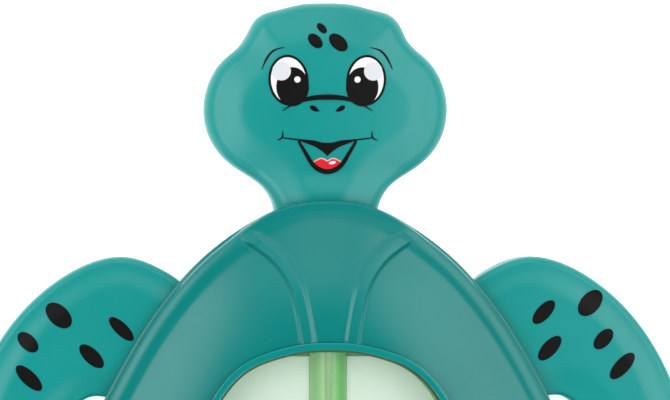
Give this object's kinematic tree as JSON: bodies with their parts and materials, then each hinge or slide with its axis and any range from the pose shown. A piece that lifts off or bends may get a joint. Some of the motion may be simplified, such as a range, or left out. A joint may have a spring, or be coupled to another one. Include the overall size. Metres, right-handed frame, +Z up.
{
  "type": "floating pool thermometer",
  "caption": "Turtle-shaped floating pool thermometer: hollow moulded body, domed shell with a clear window, scale card and glass spirit tube, bulb in a flooded well.",
  "frame": {"origin": "under the middle of the whole turtle, on the plane its flat belly rests on", "axes": "+Z up out of the water, +Y from tail to head, +X to the turtle's own right seen from above with the head up the page"},
  "size_m": [0.1424, 0.1841, 0.025],
  "materials": {
    "carapace": "moulded satin-gloss teal",
    "body": "moulded satin-gloss teal",
    "bezel": "moulded gloss teal",
    "lens": "clear polished plastic",
    "gasket": "dark green soft rubber",
    "card": "pale green printed card",
    "tray": "olive green moulding",
    "tube": "clear glass",
    "backing": "green strip",
    "spirit": "dark green spirit",
    "rubber": "black rubber",
    "steel": "plain steel",
    "clip": "white nylon",
    "plug": "teal soft plug",
    "eyelet": "white bush"
  },
  "bodies": {
    "float": {"carapace": "carapace", "window_bezel": "bezel", "window_lens": "lens", "lens_gasket": "gasket", "celsius_card": "card", "fahrenheit_card": "card", "card_tray": "tray", "tray_screws": "steel", "thermometer_tube": "tube", "capillary_stem": "tube", "tube_backing": "backing", "bulb": "tube", "tube_plug": "rubber", "tube_clip": "clip", "body_top": "body", "body_bottom": "body", "rim_seal": "rubber", "bulb_grommet": "rubber", "bulb_guard": "body", "body_screws": "steel", "screw_plugs": "plug", "ballast_weight": "steel", "ballast_screws": "steel", "tail_eyelet": "eyelet"},
    "spirit": {"spirit_column": "spirit"}
  },
  "joints": [
    {"name": "spirit_rise", "type": "slide", "parent": "float", "child": "spirit", "axis": [0, 1, 0], "range_m": [-0.014, 0.014]}
  ]
}
